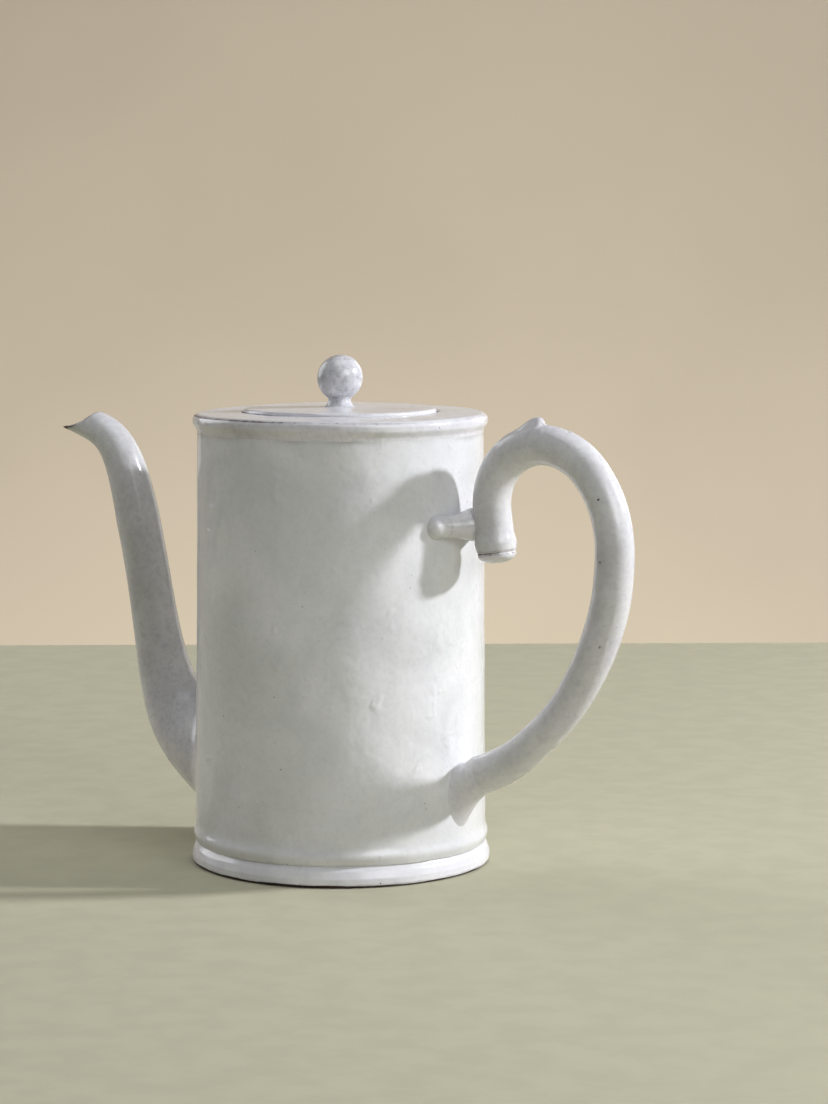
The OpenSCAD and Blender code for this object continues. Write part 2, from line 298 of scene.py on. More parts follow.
def cloudy_glaze():
    """Milky glaze of uneven depth: clouds, runs and a fine curdled mottle."""
    group, take, give = new_group("cloudy_glaze", [
        ("White", "NodeSocketColor", (0.8, 0.81, 0.81, 1)),
        ("Grey", "NodeSocketColor", (0.66, 0.66, 0.7, 1)),
        ("Warm", "NodeSocketColor", (0.76, 0.75, 0.7, 1)),
        ("Cloud Size", "NodeSocketFloat", 16.0),
        ("Clouds", "NodeSocketFloat", 1.0),
        ("Mottle", "NodeSocketFloat", 0.3),
    ], [("Color", "NodeSocketColor"), ("Depth", "NodeSocketFloat")])
    here = place(group)
    clouds = noise(group, here, take.outputs["Cloud Size"], 4.0, 0.55, 0.6)
    runs = noise(group, place(group, (1, 1, 0.16)), 110.0, 3.0, 0.5)
    curdle = noise(group, here, 420.0, 5.0, 0.65, 0.8)
    depth = spread(group, clouds, 0.36, 0.66)
    grey_share = sum_of(group, "MULTIPLY", depth, take.outputs["Clouds"], clamp=True)
    color = blend(group, grey_share, take.outputs["White"], take.outputs["Grey"])
    warm_patch = spread(group, noise(group, here, 31.0, 2.0, 0.5, 0.4), 0.52, 0.74, 0.0, 0.65)
    color = blend(group, warm_patch, color, take.outputs["Warm"])
    run_share = spread(group, runs, 0.5, 0.78, 0.0, 0.3)
    color = blend(group, run_share, color, take.outputs["Grey"])
    mottled = spread(group, curdle, 0.42, 0.7)
    mottle_share = sum_of(group, "MULTIPLY", mottled, take.outputs["Mottle"])
    color = blend(group, mottle_share, color, take.outputs["Grey"], "MULTIPLY")
    group.links.new(color, give.inputs["Color"])
    group.links.new(depth, give.inputs["Depth"])
    return group


def pinholes():
    """Scattered pits where gas broke through the glaze."""
    group, take, give = new_group("pinholes", [
        ("Scale", "NodeSocketFloat", 120.0),
        ("Share", "NodeSocketFloat", 0.02),
        ("Size", "NodeSocketFloat", 0.12),
    ], [("Mask", "NodeSocketFloat")])
    here = place(group)
    cells = group.nodes.new("ShaderNodeTexVoronoi")
    group.links.new(here, cells.inputs["Vector"])
    group.links.new(take.outputs["Scale"], cells.inputs["Scale"])
    parts = group.nodes.new("ShaderNodeSeparateColor")
    group.links.new(cells.outputs["Color"], parts.inputs["Color"])
    picked = sum_of(group, "LESS_THAN", parts.outputs["Red"], take.outputs["Share"])
    size = sum_of(group, "MULTIPLY", take.outputs["Size"], parts.outputs["Green"])
    rough_edge = sum_of(group, "MULTIPLY", noise(group, here, 1500.0, 2.0), 0.08)
    away = sum_of(group, "ADD", cells.outputs["Distance"], rough_edge)
    inner = sum_of(group, "MULTIPLY", size, 0.55)
    dot = spread(group, away, inner, size, 1.0, 0.0)
    group.links.new(sum_of(group, "MULTIPLY", picked, dot), give.inputs["Mask"])
    return group


def drawn_back():
    """Ragged edge of a mark that is painted on the clay."""
    group, take, give = new_group("drawn_back", [
        ("Mark", "NodeSocketFloat", 0.0),
        ("Ragged", "NodeSocketFloat", 0.5),
        ("Grain", "NodeSocketFloat", 260.0),
        ("Edge", "NodeSocketFloat", 0.5),
        ("Softness", "NodeSocketFloat", 0.08),
    ], [("Mask", "NodeSocketFloat")])
    here = place(group)
    torn = noise(group, here, take.outputs["Grain"], 4.0, 0.6)
    shift = sum_of(group, "MULTIPLY", sum_of(group, "SUBTRACT", torn, 0.5), take.outputs["Ragged"])
    mark = sum_of(group, "ADD", take.outputs["Mark"], shift)
    low = sum_of(group, "SUBTRACT", take.outputs["Edge"], take.outputs["Softness"])
    high = sum_of(group, "ADD", take.outputs["Edge"], take.outputs["Softness"])
    group.links.new(spread(group, mark, low, high), give.inputs["Mask"])
    return group


def glaze_skin():
    """Height of the glaze's surface: pulled and smoothed clay below, orange peel above."""
    group, take, give = new_group("glaze_skin", [
        ("Clay Waves", "NodeSocketFloat", 1.0),
        ("Peel", "NodeSocketFloat", 1.0),
    ], [("Height", "NodeSocketFloat")])
    here = place(group)
    waves = noise(group, here, 55.0, 3.0, 0.45, 0.2)
    peel = noise(group, here, 380.0, 2.0, 0.5)
    lumps = spread(group, noise(group, here, 95.0, 2.0, 0.5, 0.3), 0.6, 0.8, 0.0, 0.3)
    waves = sum_of(group, "MULTIPLY", sum_of(group, "ADD", waves, lumps), take.outputs["Clay Waves"])
    peel = sum_of(group, "MULTIPLY", peel, take.outputs["Peel"])
    height = sum_of(group, "ADD", waves, sum_of(group, "MULTIPLY", peel, 0.08))
    group.links.new(height, give.inputs["Height"])
    return group


CLOUDY, PITS, DRAWN_BACK, SKIN = cloudy_glaze(), pinholes(), drawn_back(), glaze_skin()
CLAY_DARK = (0.016, 0.012, 0.011, 1)
CLAY_BROWN = (0.07, 0.035, 0.025, 1)
# The grey of a thin veil of glaze and the brown of glaze run thin; both also paint shade in some hollows and
# creases
VEIL_AND_SHADE_GREY = (0.36, 0.36, 0.33, 1)
THIN_BROWN = (0.36, 0.31, 0.31, 1)


def use(tree, group, **values):
    """Places an effect in a finish, with its own values."""
    node = tree.nodes.new("ShaderNodeGroup")
    node.node_tree = group
    for label, value in values.items():
        wire(tree, value, node.inputs[label.replace("_", " ")])
    return node


def mark_on(tree, label):
    """A mark that the piece carries."""
    node = tree.nodes.new("ShaderNodeAttribute")
    node.attribute_name = label
    return node.outputs["Fac"]


def new_finish(name):
    """New material with its node tree and its shader."""
    finish = bpy.data.materials.new(name)
    finish.use_nodes = True
    return finish, finish.node_tree, finish.node_tree.nodes["Principled BSDF"]


def add_bump(tree, shader, height, strength, distance):
    """Lets a height shape the shader's surface."""
    bump = tree.nodes.new("ShaderNodeBump")
    bump.inputs["Strength"].default_value = strength
    bump.inputs["Distance"].default_value = distance
    tree.links.new(height, bump.inputs["Height"])
    tree.links.new(bump.outputs["Normal"], shader.inputs["Normal"])


def glaze(name, white, grey, warm, clouds=0.6, mottle=0.12, cloud_size=16.0, pit_share=0.012,
          pit_scale=110.0, pit_size=0.13, waves=1.0, dullest=0.22):
    """A glazed finish over dark clay."""
    finish, tree, shader = new_finish(name)
    depth = use(tree, CLOUDY, White=white, Grey=grey, Warm=warm, Cloud_Size=cloud_size, Clouds=clouds,
                Mottle=mottle)
    # The thin and bare marks also carry painted shade in the saddle's creases and in the groove at the
    # hanging end
    thin = use(tree, DRAWN_BACK, Mark=mark_on(tree, "thin"), Ragged=1.1, Grain=150.0, Edge=0.8,
               Softness=0.3)
    broken = use(tree, DRAWN_BACK, Mark=mark_on(tree, "thin"), Ragged=1.5, Grain=420.0, Edge=1.06,
                 Softness=0.12)
    bare = use(tree, DRAWN_BACK, Mark=mark_on(tree, "bare"), Ragged=0.55, Grain=210.0, Edge=0.5,
               Softness=0.04)
    pits = use(tree, PITS, Scale=pit_scale, Share=pit_share, Size=pit_size)
    specks = use(tree, PITS, Scale=pit_scale * 3.2, Share=pit_share * 0.3, Size=0.22)
    # Veil: a thin glaze greyed by the clay, and painted shade under the rim, in the foot groove, on the
    # handle's flanks and on the knob's shaded side
    veil_and_shade = use(tree, DRAWN_BACK, Mark=mark_on(tree, "veil_and_shade"), Ragged=0.9, Grain=70.0, Edge=0.55, Softness=0.5)
    veil_and_shade_share = sum_of(tree, "MULTIPLY", veil_and_shade.outputs["Mask"], 0.6)
    color = blend(tree, veil_and_shade_share, depth.outputs["Color"], VEIL_AND_SHADE_GREY)
    color = blend(tree, sum_of(tree, "MULTIPLY", thin.outputs["Mask"], 0.55), color, THIN_BROWN)
    color = blend(tree, sum_of(tree, "MULTIPLY", broken.outputs["Mask"], 0.8), color, CLAY_BROWN)
    color = blend(tree, sum_of(tree, "MULTIPLY", specks.outputs["Mask"], 0.5), color, CLAY_BROWN)
    color = blend(tree, sum_of(tree, "MULTIPLY", pits.outputs["Mask"], 0.85), color, CLAY_DARK)
    clay = blend(tree, noise(tree, place(tree), 600.0, 3.0), CLAY_DARK, CLAY_BROWN)
    color = blend(tree, bare.outputs["Mask"], color, clay)
    tree.links.new(color, shader.inputs["Base Color"])
    dull = sum_of(tree, "MULTIPLY", broken.outputs["Mask"], 0.6)
    dull = sum_of(tree, "MAXIMUM", bare.outputs["Mask"], dull)
    gloss = spread(tree, noise(tree, place(tree), 24.0, 3.0), 0.3, 0.7, 0.13, dullest)
    rough = spread(tree, dull, 0.0, 1.0, gloss, 0.62)
    tree.links.new(rough, shader.inputs["Roughness"])
    skin = use(tree, SKIN, Clay_Waves=waves, Peel=1.0)
    dents = sum_of(tree, "MULTIPLY", sum_of(tree, "ADD", pits.outputs["Mask"], bare.outputs["Mask"]), -0.35)
    add_bump(tree, shader, sum_of(tree, "ADD", skin.outputs["Height"], dents), 0.5, 0.0011)
    shader.inputs["IOR"].default_value = 1.52
    return finish


def unglazed_clay(name):
    """Dry dark stoneware with coarse specks, a film of glaze dust where it is marked glazed."""
    finish, tree, shader = new_finish(name)
    here = place(tree)
    grit = spread(tree, noise(tree, here, 900.0, 4.0, 0.7), 0.45, 0.75)
    toast = spread(tree, noise(tree, here, 45.0, 3.0), 0.4, 0.65)
    color = blend(tree, toast, (0.05, 0.034, 0.028, 1), (0.11, 0.07, 0.052, 1))
    color = blend(tree, sum_of(tree, "MULTIPLY", grit, 0.5), color, (0.2, 0.165, 0.14, 1))
    glazed = use(tree, DRAWN_BACK, Mark=mark_on(tree, "thin"), Ragged=0.5, Grain=120.0, Edge=0.5,
                 Softness=0.06)
    milky = use(tree, CLOUDY, White=(0.74, 0.74, 0.73, 1), Grey=(0.56, 0.55, 0.57, 1),
                Warm=(0.66, 0.62, 0.56, 1))
    color = blend(tree, glazed.outputs["Mask"], color, milky.outputs["Color"])
    tree.links.new(color, shader.inputs["Base Color"])
    tree.links.new(spread(tree, glazed.outputs["Mask"], 0.0, 1.0, 0.72, 0.2), shader.inputs["Roughness"])
    add_bump(tree, shader, sum_of(tree, "ADD", grit, glazed.outputs["Mask"]), 0.45, 0.0005)
    return finish


WHITE = (0.835, 0.835, 0.85, 1)
LILAC = (0.66, 0.64, 0.69, 1)
COOL_GREY = (0.68, 0.69, 0.69, 1)
WARM_GREY = (0.785, 0.78, 0.77, 1)

FINISHES = {
    "wall_glaze": glaze("milky_wall_glaze", WHITE, COOL_GREY, WARM_GREY, clouds=0.75, cloud_size=23.0,
                        mottle=0.18, pit_share=0.3, pit_size=0.11, waves=1.7),
    "foot_glaze": glaze("thick_foot_glaze", (0.87, 0.87, 0.89, 1), LILAC, (0.82, 0.82, 0.83, 1), clouds=0.4,
                        cloud_size=34.0, pit_share=0.1),
    "shoulder_glaze": glaze("thin_rim_glaze", WHITE, LILAC, WARM_GREY, clouds=0.5, cloud_size=22.0,
                            mottle=0.35, pit_share=0.25),
    "spout_glaze": glaze("streaked_spout_glaze", (0.76, 0.765, 0.76, 1), LILAC, WARM_GREY, clouds=0.6,
                         cloud_size=30.0, mottle=0.45, pit_share=0.25, dullest=0.24),
    "handle_glaze": glaze("pitted_handle_glaze", (0.79, 0.79, 0.79, 1), LILAC, WARM_GREY, clouds=0.5,
                          cloud_size=28.0, mottle=0.35, pit_share=0.33, pit_scale=171.0, pit_size=0.2),
    "lid_glaze": glaze("flat_lid_glaze", WHITE, LILAC, WARM_GREY, clouds=0.5, cloud_size=20.0,
                       mottle=0.2, pit_share=0.15),
    "knob_glaze": glaze("mottled_knob_glaze", (0.84, 0.84, 0.855, 1), (0.54, 0.54, 0.56, 1), WARM_GREY,
                        clouds=0.75, cloud_size=95.0, mottle=0.6, pit_share=0.5, pit_scale=260.0,
                        pit_size=0.16),
    "bare_clay": unglazed_clay("dry_dark_clay"),
}


# Pieces of the pot

def build_wall():
    """The thrown wall, with a soft ridge at its foot and strainer holes, greyed with painted shade under the
    rim and in the groove at its foot.
    """
    low = np.concatenate([np.arange(FOOT_TOP, 17.8, 0.3), np.arange(18, WALL_TOP - 9.4, 1.4),
                          np.arange(WALL_TOP - 9, WALL_TOP + 0.1, 0.5)])
    ridge = 0.85 * bell((low - FOOT_TOP - 3.4) / 2.2) - 0.3 * bell((low - FOOT_TOP + 0.2) / 1.3)
    groove = -0.1 * bell((low - FOOT_TOP - 8.6) / 2.4)
    outer = np.stack([wall_r(low) + ridge + groove, low], axis=1)
    high = np.arange(WALL_TOP, FOOT_TOP + 6, -3.0)
    inner = np.stack([np.full(len(high), INNER_R), high], axis=1)
    fillet = [(INNER_R - 4 * (1 - math.sin(a)), FOOT_TOP + 4 * (1 - math.cos(a)))
              for a in np.radians([90, 72, 54, 36, 18])]
    section = np.concatenate([outer, inner, fillet, [(INNER_R - 4, FOOT_TOP)]])
    points, faces = turned(section, 256)
    _, z, turn = polar(points)
    # Painted shade in the veil mark: a band under the rim and a band in the groove where the wall meets the
    # foot
    under_rim_shade = bell((z - WALL_TOP) / 2.2) * (0.55 + 0.25 * np.sin(turn * 5) + 0.2 * np.sin(turn * 13))
    groove_shade = 0.45 * bell(z - FOOT_TOP)
    wall = clay_piece("thrown_wall", "body_wall", "pot", "wall_glaze", points, faces,
                       veil_and_shade=np.maximum(under_rim_shade, groove_shade))
    pierce(wall, strainer_cutter())


def strainer_cutter():
    """Seven pegs that pierce the wall behind the spout."""
    shaped = bmesh.new()
    for k in range(7):
        turn = math.radians(60 * k)
        out = 0 if k == 6 else 11.5
        y, z = out * math.sin(turn), 37 + out * math.cos(turn)
        peg = bmesh.ops.create_cone(shaped, cap_ends=True, segments=40, radius1=3.5 * MM, radius2=3.5 * MM,
                                    depth=30 * MM)
        for v in peg["verts"]:
            x, depth_y, along = v.co
            v.co = (-56 * MM + along, y * MM + depth_y, z * MM + x)
    mesh = bpy.data.meshes.new("pegs")
    shaped.to_mesh(mesh)
    shaped.free()
    return placed("pegs", mesh)


def pierce(piece, cutter):
    """Cuts the cutter's shape out of a piece and takes the cutter away."""
    cut = piece.modifiers.new("cut", "BOOLEAN")
    cut.operation = "DIFFERENCE"
    cut.solver = "EXACT"
    cut.object = cutter
    bpy.context.view_layer.update()
    seen = bpy.context.evaluated_depsgraph_get()
    made = bpy.data.meshes.new_from_object(piece.evaluated_get(seen), preserve_all_data_layers=True,
                                           depsgraph=seen)
    piece.modifiers.clear()
    piece.data = made
    bpy.data.objects.remove(cutter)


def build_foot():
    """The foot ring, wiped bare where it stands."""
    section = finer(rounded([
        (FOOT_INNER_R, 0, 1.2), (FOOT_INNER_R, FOOT_TOP, 0), (WALL_FOOT_R - 1.2, FOOT_TOP, 0),
        (WALL_FOOT_R - 1.0, FOOT_TOP + 0.3, 0.1), (WALL_FOOT_R - 0.55, FOOT_TOP - 0.6, 1.0),
        (FOOT_OUT - 0.9, FOOT_TOP - 2.1, 2.6), (FOOT_OUT, 3.5, 2.6), (FOOT_OUT, 1.3, 1.2),
        (FOOT_OUT - 0.5, 0.35, 0.5), (FOOT_OUT - 2.2, 0, 1.0)], 8), 0.9)
    points, faces = turned(section, 256)
    r, z, turn = polar(points)
    wipe = 0.85 + 0.35 * np.cos(turn + 1.9) + 0.15 * np.sin(turn * 5 + 1.0) + 0.12 * np.sin(turn * 17)
    bare = np.where(r > FOOT_INNER_R + 3, ease((wipe + 0.6 - z) / 1.2), ease((2.6 - z) / 1.6))
    thin = 0.75 * bell((z - wipe - 0.5) / 0.7)
    clay_piece("foot_roll", "foot_ring", "pot", "foot_glaze", points, faces,
               bare=bare, thin=thin)


def build_base():
    """The floor of the pot, glazed inside and bare below."""
    top = [(r, FOOT_TOP + 0.3) for r in np.arange(0, FOOT_INNER_R + 1, 2.5)]
    edge = [(FOOT_INNER_R + 0.5, FOOT_TOP - 0.2), (FOOT_INNER_R + 0.5, RECESS_TOP - 1.4)]
    fillet = [(FOOT_INNER_R - 3.2 * (1 - math.cos(a)), RECESS_TOP - 1.4 + 1.4 * math.sin(a))
              for a in np.radians([0, 18, 36, 54, 72, 90])]
    under = [(r, RECESS_TOP) for r in np.arange(FOOT_INNER_R - 5.5, 0, -2.5)] + [(0.0, RECESS_TOP)]
    section = np.array(top + edge + fillet + under)
    points, faces = turned(section, 128, closed=False)
    clay_piece("floor_slab", "base_disc", "pot", "bare_clay", points, faces,
               thin=ease((points[:, 2] - FOOT_TOP + 1) / 0.6))


def build_shoulder():
    """The flat shoulder with its rolled edge and the seat for the lid."""
    section = finer(rounded([
        (MOUTH_R, WALL_TOP, 0.8), (WALL_TOP_R - 1.5, WALL_TOP, 0), (WALL_TOP_R - 0.3, WALL_TOP - 2.5, 0),
        (WALL_TOP_R + 0.2, WALL_TOP + 0.9, 3.0), (RIM_OUT, WALL_TOP + 3.2, 2.2),
        (RIM_OUT, RIM_TOP - 2.0, 1.9), (RIM_OUT - 1.9, RIM_TOP - 0.6, 2.6),
        (RIM_OUT - 9, RIM_TOP - 0.35, 8), (SEAT_R, RIM_TOP, 0.9), (SEAT_R - 0.1, LID_LOW, 0.35),
        (MOUTH_R, LID_LOW, 0.9)], 8), 1.2)
    points, faces = turned(section, 256)
    r, z, turn = polar(points)
    # Stronger towards the front left: a greyer veil and more broken glaze at the rim there
    front_left_weight = 0.72 + 0.34 * np.cos(turn + 2.1) + 0.1 * np.sin(turn * 7)
    thin = 1.15 * front_left_weight * np.where(r > RIM_OUT - 3, bell((z - RIM_TOP + 1.35) / 0.55), 0)
    thin = np.maximum(thin, 0.75 * crest(points, [(SEAT_R + 0.3, RIM_TOP - 0.2)], 0.8))
    veil_and_shade = front_left_weight * np.where(r > RIM_OUT - 2.5, 0.42, 0.24) * ease((r - SEAT_R) / 2)
    seat = ease((SEAT_R + 0.4 - r) / 0.5) * ease((RIM_TOP - 0.5 - z) / 0.5) * ease((z - LID_LOW + 1.5) / 1.2)
    clay_piece("rolled_shoulder", "shoulder", "pot", "shoulder_glaze", points, faces,
               bare=seat, thin=thin, veil_and_shade=veil_and_shade)


# The spout's route: two smooth curves in the upright plane through the handle and spout
SPOUT_FOOT = np.array([WALL_TOP_R - 17, 33.6])
SPOUT_NECK = np.array([WALL_TOP_R + 45.7, 132.0])
SPOUT_KNEE = np.array([WALL_TOP_R + 29.5, 56.0])
SPOUT_LOW = [SPOUT_FOOT, np.array([WALL_TOP_R + 36, 48.5]), SPOUT_KNEE, SPOUT_NECK]
NECK_WAY = (SPOUT_NECK - SPOUT_KNEE) / np.linalg.norm(SPOUT_NECK - SPOUT_KNEE)
SPOUT_END = np.array([WALL_TOP_R + 81.0, 173.7])
SPOUT_HIGH = [SPOUT_NECK, SPOUT_NECK + 37 * NECK_WAY, SPOUT_END - [20.8, 5.6], SPOUT_END]
SPOUT_TIP = np.array([WALL_TOP_R + 82.9, 169.3])
SPOUT_BACK = SPOUT_TIP + [-18.2, 8.6]
MOUTH_BEND = np.array([-14.5, 0.8])
FOOT_FLARE_R, NECK_R, MOUTH_OUT_R = 27.4, 9.1, 5.8
SPOUT_WALL, LIP_WALL = 2.8, 1.7


def curve_at(c, t):
    """Points on a smooth curve with four control points."""
    t = np.asarray(t, float)[:, None]
    return c[0] * (1 - t) ** 3 + 3 * c[1] * t * (1 - t) ** 2 + 3 * c[2] * t ** 2 * (1 - t) + c[3] * t ** 3


def spout_route():
    """Points, directions and outside radii along the spout, a little past its mouth."""
    steps, past = 260, 40
    t = np.linspace(0, 1, steps)
    low, high = curve_at(SPOUT_LOW, t), curve_at(SPOUT_HIGH, t)[1:]
    low_r = NECK_R + (FOOT_FLARE_R - NECK_R) * (1 - t) ** 2.43
    high_r = (NECK_R + (MOUTH_OUT_R - NECK_R) * t)[1:]
    way = (SPOUT_END - SPOUT_HIGH[2]) / np.linalg.norm(SPOUT_END - SPOUT_HIGH[2])
    beyond = SPOUT_END + np.linspace(0.2, 8, past)[:, None] * way
    line = np.concatenate([low, high, beyond])
    radius = np.concatenate([low_r, high_r, np.full(past, MOUTH_OUT_R)])
    wall = np.concatenate([np.full(steps, SPOUT_WALL), np.linspace(SPOUT_WALL, LIP_WALL, steps - 1),
                           np.full(past, LIP_WALL)])
    ways = np.gradient(line, axis=0)
    ways /= np.linalg.norm(ways, axis=1)[:, None]
    return line, ways, radius, wall


def above_mouth(x, z):
    """How far a point of the spout lies below the mouth's scooped edge; negative is cut away."""
    bend = SPOUT_TIP + MOUTH_BEND
    t = np.linspace(0, 1, 60)[:, None]
    edge = SPOUT_TIP * (1 - t) ** 2 + 2 * bend * t * (1 - t) + SPOUT_BACK * t ** 2
    behind = SPOUT_BACK - (edge[-2] - edge[-1]) / np.linalg.norm(edge[-2] - edge[-1]) * 20
    ahead = SPOUT_TIP + [1.5, -8]
    edge = np.concatenate([[ahead], edge, [behind]])[::-1]
    return np.interp(x, edge[:, 0], edge[:, 1]) - z


def spout_lines(radius, line, ways, around, start_depth):
    """Lines along the spout's skin, each from the wall to the scooped mouth, drawn towards +X."""
    turn = np.arange(around) * 2 * math.pi / around
    skins = []
    for a in turn:
        side = math.cos(a)
        x = line[:, 0] - radius * side * ways[:, 1]
        z = line[:, 1] + radius * side * ways[:, 0]
        y = radius * math.sin(a)
        skin = np.stack([x, y, z], axis=1)
        off_wall = np.hypot(x, y) - wall_r(z) + start_depth
        first = int(np.nonzero(off_wall < 0)[0].max()) + 1 if (off_wall < 0).any() else 0
        in_mouth = above_mouth(x, z)
        past = np.nonzero((in_mouth < 0) & (np.arange(len(x)) > len(x) // 2))[0]
        last = int(past.min()) if len(past) else len(x) - 1
        share = in_mouth[last - 1] / (in_mouth[last - 1] - in_mouth[last])
        end = skin[last - 1] + (skin[last] - skin[last - 1]) * share
        skins.append(np.concatenate([skin[first:last], [end]]))
    return skins


def even(skin, count):
    """The same line with an even number of points along it."""
    step = np.concatenate([[0], np.cumsum(np.linalg.norm(np.diff(skin, axis=0), axis=1))])
    want = step[-1] * np.linspace(0, 1, count)
    return np.stack([np.interp(want, step, skin[:, k]) for k in range(3)], axis=1)


def build_spout():
    """The pulled spout: a flared foot luted to the wall, a slender neck and a scooped beak."""
    line, ways, radius, wall = spout_route()
    around, rows = 72, 130
    outer = np.array([even(s, rows) for s in spout_lines(radius, line, ways, around, 1.2)])
    inner = np.array([even(s, rows) for s in spout_lines(radius - wall, line, ways, around, 0.4)])
    middle = outer.mean(axis=0)
    away = outer - middle[None]
    away /= np.linalg.norm(away, axis=2)[..., None]
    off_wall = np.hypot(outer[..., 0], outer[..., 1]) - wall_r(outer[..., 2])
    flare = 2.6 * np.square(np.clip(1 - off_wall / 5.5, 0, 1.1))
    flare[:, rows // 2:] = 0
    outer = outer + away * flare[..., None]
    lips = []
    edge_out, edge_in = outer[:, -1], inner[:, -1]
    run = outer[:, -1] - outer[:, -3]
    run /= np.linalg.norm(run, axis=1)[:, None]
    for k in (0.15, 0.38, 0.62, 0.85):
        lips.append(edge_out + (edge_in - edge_out) * k + run * 0.7 * math.sin(math.pi * k))
    rings = [outer[:, i] for i in range(rows)] + lips + [inner[:, i] for i in range(rows - 1, -1, -1)]
    points = np.concatenate(rings)
    points[:, 0] *= -1
    count = len(rings)
    faces = tube_faces(count, around, False, False)
    for j in range(around):
        k = (j + 1) % around
        last = (count - 1) * around
        faces.append((last + j, last + k, k, j))
    from_edge = above_mouth(-points[:, 0], points[:, 2])
    to_tip = np.hypot(-points[:, 0] - SPOUT_TIP[0], points[:, 2] - SPOUT_TIP[1])
    near_mouth = points[:, 2] > 150
    thin = np.where(near_mouth, bell(from_edge / 0.9), 0) + 0.75 * bell(to_tip / 7)
    bare = 1.15 * bell(to_tip / 3.1) + np.where(near_mouth, 0.42 * bell(from_edge / 0.5), 0)
    veil_and_shade = 0.5 * bell((points[:, 2] - 112) / 46) + 0.3 * bell((points[:, 2] - 166) / 16)
    veil_and_shade += 0.6 * bell(to_tip / 11)
    clay_piece("pulled_spout", "spout", "pot", "spout_glaze", points, faces,
               bare=bare, thin=thin, veil_and_shade=veil_and_shade)


# The handle's bends: (middle x, middle z, radius, from, to) in degrees, from the hanging end to the root
COIL_R = 7.8
SCROLL_X = WALL_TOP_R + 6.9 + COIL_R
CREST_BEND = 23.6
SCROLL_MIDDLE = np.array([SCROLL_X + CREST_BEND, 147.7])
SCROLL_TILT = math.radians(7)
SCROLL_TOP = SCROLL_MIDDLE - CREST_BEND * np.array([math.cos(SCROLL_TILT), math.sin(SCROLL_TILT)])
SCROLL_WAY = np.array([math.sin(SCROLL_TILT), -math.cos(SCROLL_TILT)])
SCROLL_END = SCROLL_TOP + 15.6 * SCROLL_WAY
GRIP = np.array([WALL_TOP_R + 69.8, 131.8])
OUTER_BEND = (GRIP[0] - SCROLL_MIDDLE[0]) * 0.86
CREST_Z = SCROLL_MIDDLE[1] + CREST_BEND
TO_GRIP = np.array([GRIP[0] - SCROLL_MIDDLE[0], CREST_Z - GRIP[1]])
SIDE_BEND = (TO_GRIP @ TO_GRIP - 2 * OUTER_BEND * TO_GRIP[1]) / (2 * (TO_GRIP[0] - OUTER_BEND))
OUTER_MIDDLE = np.array([SCROLL_MIDDLE[0], CREST_Z - OUTER_BEND])
SIDE_MIDDLE = np.array([GRIP[0] - SIDE_BEND, GRIP[1]])
SIDE_TURN = math.degrees(math.atan2(*(OUTER_MIDDLE - SIDE_MIDDLE)[::-1]))
ROOT_END = np.array([wall_r(40.8) + 9.1, 40.8])
LOWER_ANGLE, ROOT_ANGLE, ROOT_BEND = 47, 71, 59.0
LOWER_TURN, ROOT_TURN = math.radians(LOWER_ANGLE), math.radians(ROOT_ANGLE)
RUN = np.array([GRIP[0] - ROOT_END[0] - ROOT_BEND * (math.cos(LOWER_TURN) - math.cos(ROOT_TURN)),
                GRIP[1] - ROOT_END[1] - ROOT_BEND * (math.sin(ROOT_TURN) - math.sin(LOWER_TURN))])
LOWER_BEND = (RUN[1] * math.sin(LOWER_TURN) - RUN[0] * math.cos(LOWER_TURN)) / (1 - math.cos(LOWER_TURN))
LOWER_STRAIGHT = math.sin(LOWER_TURN) * RUN[0] / (1 - math.cos(LOWER_TURN)) - RUN[1]
LOWER_MIDDLE = np.array([GRIP[0] - LOWER_BEND, GRIP[1]])
STRAIGHT_START = LOWER_MIDDLE + LOWER_BEND * np.array([math.cos(LOWER_TURN), -math.sin(LOWER_TURN)])
STRAIGHT_END = STRAIGHT_START - LOWER_STRAIGHT * np.array([math.sin(LOWER_TURN), math.cos(LOWER_TURN)])
ROOT_MIDDLE = STRAIGHT_END - ROOT_BEND * np.array([math.cos(LOWER_TURN), -math.sin(LOWER_TURN)])


def arc(middle, radius, start, end, step=1.4):
    """Points along a bend, in degrees."""
    count = max(3, int(abs(math.radians(end - start)) * radius / step))
    turn = np.radians(np.linspace(start, end, count))
    return middle + radius * np.stack([np.cos(turn), np.sin(turn)], axis=1)


def handle_line():
    """Points and directions along the middle of the handle, from its hanging end to its root."""
    line = np.concatenate([
        SCROLL_END + np.linspace(0, 1, 12)[:, None] * (SCROLL_TOP - SCROLL_END),
        arc(SCROLL_MIDDLE, CREST_BEND, 180 + math.degrees(SCROLL_TILT), 90)[1:],
        arc(OUTER_MIDDLE, OUTER_BEND, 90, SIDE_TURN)[1:],
        arc(SIDE_MIDDLE, SIDE_BEND, SIDE_TURN, 0)[1:],
        arc(LOWER_MIDDLE, LOWER_BEND, 0, -LOWER_ANGLE)[1:],
        STRAIGHT_START + np.linspace(0, 1, 8)[1:, None] * (STRAIGHT_END - STRAIGHT_START),
        arc(ROOT_MIDDLE, ROOT_BEND, -LOWER_ANGLE, -ROOT_ANGLE)[1:]])
    ways = np.gradient(line, axis=0)
    ways /= np.linalg.norm(ways, axis=1)[:, None]
    for _ in range(6):
        ways[1:-1] = (ways[:-2] + 2 * ways[1:-1] + ways[2:]) / 4
        ways /= np.linalg.norm(ways, axis=1)[:, None]
    return line, ways


def ring_on(middle, way, inward, sideways, around):
    """Ring of points square to a direction in the upright plane; inward is its radius towards +Z where
    the direction is +X."""
    turn = np.arange(around) * 2 * math.pi / around
    return np.stack([middle[0] - inward * np.cos(turn) * way[1], sideways * np.sin(turn),
                     middle[1] + inward * np.cos(turn) * way[0]], axis=1)


